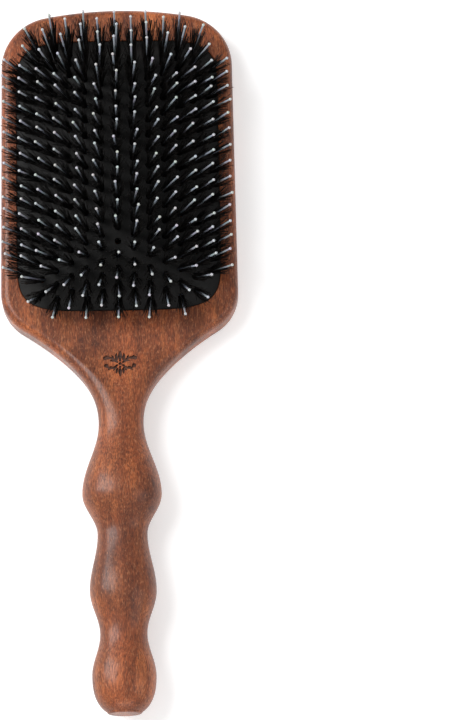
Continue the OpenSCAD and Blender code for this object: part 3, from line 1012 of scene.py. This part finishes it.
def bristle_tree(finish):
    """Sets a tuft on every foot: many thin bent strands, spread over its root and opening outwards."""
    tree, inlet, outlet = tree_with_inputs("bristle tufts", (
        ("Bristles", "NodeSocketInt"), ("Length", "NodeSocketFloat"), ("Radius", "NodeSocketFloat"),
        ("Spread", "NodeSocketFloat"), ("Thickness", "NodeSocketFloat"), ("Bend", "NodeSocketFloat"),
        ("Seed", "NodeSocketInt")))
    nodes, links = tree.nodes, tree.links

    def put(node, socket, value):
        if isinstance(value, bpy.types.NodeSocket):
            links.new(value, node.inputs[socket])
        else:
            node.inputs[socket].default_value = value

    def number(kind, a, b):
        node = nodes.new("ShaderNodeMath")
        node.operation = kind
        put(node, 0, a)
        put(node, 1, b)
        return node.outputs[0]

    def vector(kind, a, b):
        node = nodes.new("ShaderNodeVectorMath")
        node.operation = kind
        put(node, 0, a)
        put(node, "Scale" if kind == "SCALE" else 1, b)
        return node.outputs[0]

    def chance(low, high, salt):
        node = nodes.new("FunctionNodeRandomValue")
        node.data_type = "FLOAT"
        node.inputs[2].default_value = low
        node.inputs[3].default_value = high
        links.new(number("ADD", inlet.outputs["Seed"], salt), node.inputs["Seed"])
        return node.outputs[1]

    many = nodes.new("GeometryNodeDuplicateElements")
    many.domain = "POINT"
    links.new(inlet.outputs["Geometry"], many.inputs["Geometry"])
    links.new(inlet.outputs["Bristles"], many.inputs["Amount"])
    up_node = nodes.new("GeometryNodeInputNamedAttribute")
    up_node.data_type = "FLOAT_VECTOR"
    up_node.inputs["Name"].default_value = "dome_up"
    up = up_node.outputs["Attribute"]
    # Two directions across the tuft, at right angles
    side_a = vector("NORMALIZE", vector("CROSS_PRODUCT", up, (0.3, 0.9, 0.1)), (0, 0, 0))
    side_b = vector("CROSS_PRODUCT", up, side_a)
    angle = chance(0.0, math.tau, 1)
    out = number("SQRT", chance(0.12, 1.0, 2), 0.0)
    away = vector("ADD", vector("SCALE", side_a, number("COSINE", angle, 0.0)),
                  vector("SCALE", side_b, number("SINE", angle, 0.0)))
    away = vector("SCALE", away, out)
    foot = nodes.new("GeometryNodeSetPosition")
    links.new(many.outputs["Geometry"], foot.inputs["Geometry"])
    sunk = vector("SCALE", up, -tuft_root * MM)
    links.new(vector("ADD", vector("SCALE", away, inlet.outputs["Radius"]), sunk), foot.inputs["Offset"])
    opening = number("MULTIPLY", inlet.outputs["Spread"], chance(0.45, 1.15, 3))
    aim = vector("ADD", up, vector("SCALE", away, opening))
    bend = nodes.new("GeometryNodeStoreNamedAttribute")
    bend.data_type = "FLOAT_VECTOR"
    bend.domain = "POINT"
    bend.inputs["Name"].default_value = "bend"
    wild = nodes.new("FunctionNodeRandomValue")
    wild.data_type = "FLOAT_VECTOR"
    wild.inputs["Min"].default_value = (-1, -1, -0.3)
    wild.inputs["Max"].default_value = (1, 1, 0.1)
    links.new(number("ADD", inlet.outputs["Seed"], 4), wild.inputs["Seed"])
    links.new(foot.outputs["Geometry"], bend.inputs["Geometry"])
    links.new(vector("SCALE", wild.outputs["Value"], inlet.outputs["Bend"]), bend.inputs["Value"])

    line = nodes.new("GeometryNodeCurvePrimitiveLine")
    line.inputs["End"].default_value = (0, 0, 1)
    cut = nodes.new("GeometryNodeResampleCurve")
    cut.inputs["Count"].default_value = 4
    links.new(line.outputs["Curve"], cut.inputs["Curve"])
    factor = nodes.new("GeometryNodeSplineParameter")
    taper = nodes.new("GeometryNodeSetCurveRadius")
    links.new(cut.outputs["Curve"], taper.inputs["Curve"])
    thinning = number("MULTIPLY", factor.outputs["Factor"], 0.55)
    links.new(number("SUBTRACT", 1.0, thinning), taper.inputs["Radius"])
    mark = nodes.new("GeometryNodeStoreNamedAttribute")
    mark.data_type = "FLOAT"
    mark.domain = "POINT"
    mark.inputs["Name"].default_value = "along"
    links.new(taper.outputs["Curve"], mark.inputs["Geometry"])
    links.new(factor.outputs["Factor"], mark.inputs["Value"])
    round_wire = nodes.new("GeometryNodeCurvePrimitiveCircle")
    round_wire.inputs["Resolution"].default_value = 3
    round_wire.inputs["Radius"].default_value = 0.5
    strand = nodes.new("GeometryNodeCurveToMesh")
    strand.inputs["Fill Caps"].default_value = True
    links.new(mark.outputs["Geometry"], strand.inputs["Curve"])
    links.new(round_wire.outputs["Curve"], strand.inputs["Profile Curve"])

    turn = nodes.new("FunctionNodeAlignRotationToVector")
    turn.axis = "Z"
    links.new(aim, turn.inputs["Vector"])
    size = nodes.new("ShaderNodeCombineXYZ")
    links.new(inlet.outputs["Thickness"], size.inputs["X"])
    links.new(inlet.outputs["Thickness"], size.inputs["Y"])
    links.new(number("MULTIPLY", inlet.outputs["Length"], chance(0.78, 1.0, 5)), size.inputs["Z"])
    plant = nodes.new("GeometryNodeInstanceOnPoints")
    links.new(bend.outputs["Geometry"], plant.inputs["Points"])
    links.new(strand.outputs["Mesh"], plant.inputs["Instance"])
    links.new(turn.outputs["Rotation"], plant.inputs["Rotation"])
    links.new(size.outputs["Vector"], plant.inputs["Scale"])
    real = nodes.new("GeometryNodeRealizeInstances")
    links.new(plant.outputs["Instances"], real.inputs["Geometry"])
    bend_read = nodes.new("GeometryNodeInputNamedAttribute")
    bend_read.data_type = "FLOAT_VECTOR"
    bend_read.inputs["Name"].default_value = "bend"
    along_read = nodes.new("GeometryNodeInputNamedAttribute")
    along_read.data_type = "FLOAT"
    along_read.inputs["Name"].default_value = "along"
    curve = nodes.new("GeometryNodeSetPosition")
    links.new(real.outputs["Geometry"], curve.inputs["Geometry"])
    late = number("POWER", along_read.outputs["Attribute"], 2.0)
    links.new(vector("SCALE", bend_read.outputs["Attribute"], late), curve.inputs["Offset"])
    paint = nodes.new("GeometryNodeSetMaterial")
    paint.inputs["Material"].default_value = finish
    links.new(curve.outputs["Geometry"], paint.inputs["Geometry"])
    links.new(paint.outputs["Geometry"], outlet.inputs["Geometry"])
    return tree


def black_bristle():
    material, nodes, links, shader, place = new_finish("black_boar_bristle")
    hair = mottle(nodes, links, place, 900)
    add_tint(nodes, links, hair.outputs["Fac"], [(0.35, grey(0.003)), (0.8, (0.014, 0.010, 0.008, 1))])
    add_gloss(nodes, links, hair.outputs["Fac"], 0.42, 0.6)
    shader.inputs["Specular IOR Level"].default_value = 0.3
    return material


tufts = bristle_tree(black_bristle())
for zone in range(1, zone_count + 1):
    piece = grown(f"bristle_tufts_zone{zone}", places_mesh(f"tuft_feet_zone{zone}", zone), tufts, {
        "Bristles": bristles_in_tuft, "Length": bristle_length * MM, "Radius": tuft_radius * MM,
        "Spread": tuft_spread, "Thickness": bristle_thickness * MM, "Bend": bristle_bend * MM,
        "Seed": 20 * zone})
    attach(piece, f"zone{zone}")
    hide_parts(f"tufts_zone{zone}_left", f"tufts_zone{zone}_right")

# ---- Floor, lights and camera
# The brush lies on its back on a plain pale table, under large soft lamps. It is seen from high above its
# handle end, with the brush to the left of the middle.
half_table = 3.0
table_z = -0.0003
floor_data = bpy.data.meshes.new("table_top")
table_corners = [(x * half_table, y * half_table, table_z) for x, y in ((-1, -1), (1, -1), (1, 1), (-1, 1))]
floor_data.from_pydata(table_corners, [], [(0, 1, 2, 3)])
table_top = bpy.data.objects.new("table_top", floor_data)
bpy.context.collection.objects.link(table_top)
pale = bpy.data.materials.new("pale_table")
pale.use_nodes = True
for name, value in (("Base Color", grey(0.93)), ("Roughness", 0.9), ("Emission Color", grey(1)),
                    ("Emission Strength", 0.32)):
    pale.node_tree.nodes["Principled BSDF"].inputs[name].default_value = value
floor_data.materials.append(pale)

world = bpy.data.worlds.new("studio")
bpy.context.scene.world = world
world.use_nodes = True
world.node_tree.nodes["Background"].inputs["Color"].default_value = grey(1)
world.node_tree.nodes["Background"].inputs["Strength"].default_value = 0.5


def lamp(name, place, aim, size, power):
    light = bpy.data.lights.new(name, "AREA")
    light.shape = "RECTANGLE"
    light.size, light.size_y = size
    light.energy = power
    piece = bpy.data.objects.new(name, light)
    bpy.context.collection.objects.link(piece)
    piece.location = place
    piece.rotation_euler = (Vector(aim) - Vector(place)).to_track_quat("-Z", "Y").to_euler()


lamp("key_lamp", (-0.7, 0.25, 0.85), (0, 0, 0), (0.6, 0.9), 12)
lamp("fill_lamp", (0.8, -0.3, 0.8), (0, 0, 0), (0.6, 0.9), 2)
lamp("end_lamp", (0.0, -0.9, 0.45), (0, -0.05, 0), (0.8, 0.35), 2)

camera_data = bpy.data.cameras.new("camera")
camera_data.sensor_fit = "HORIZONTAL"
camera_data.sensor_width = 36
camera_data.lens = 330
camera_data.clip_end = 20
camera = bpy.data.objects.new("camera", camera_data)
bpy.context.collection.objects.link(camera)
elevation = math.radians(75)
distance = 1.5
target = Vector((0.0399, -0.0027, 0.010))
camera.location = target + distance * Vector((0, -math.cos(elevation), math.sin(elevation)))
camera.rotation_euler = (target - camera.location).to_track_quat("-Z", "Y").to_euler()
camera.rotation_euler.rotate_axis("Z", math.radians(-1.15))
bpy.context.scene.camera = camera
bpy.context.scene.view_settings.view_transform = "Standard"
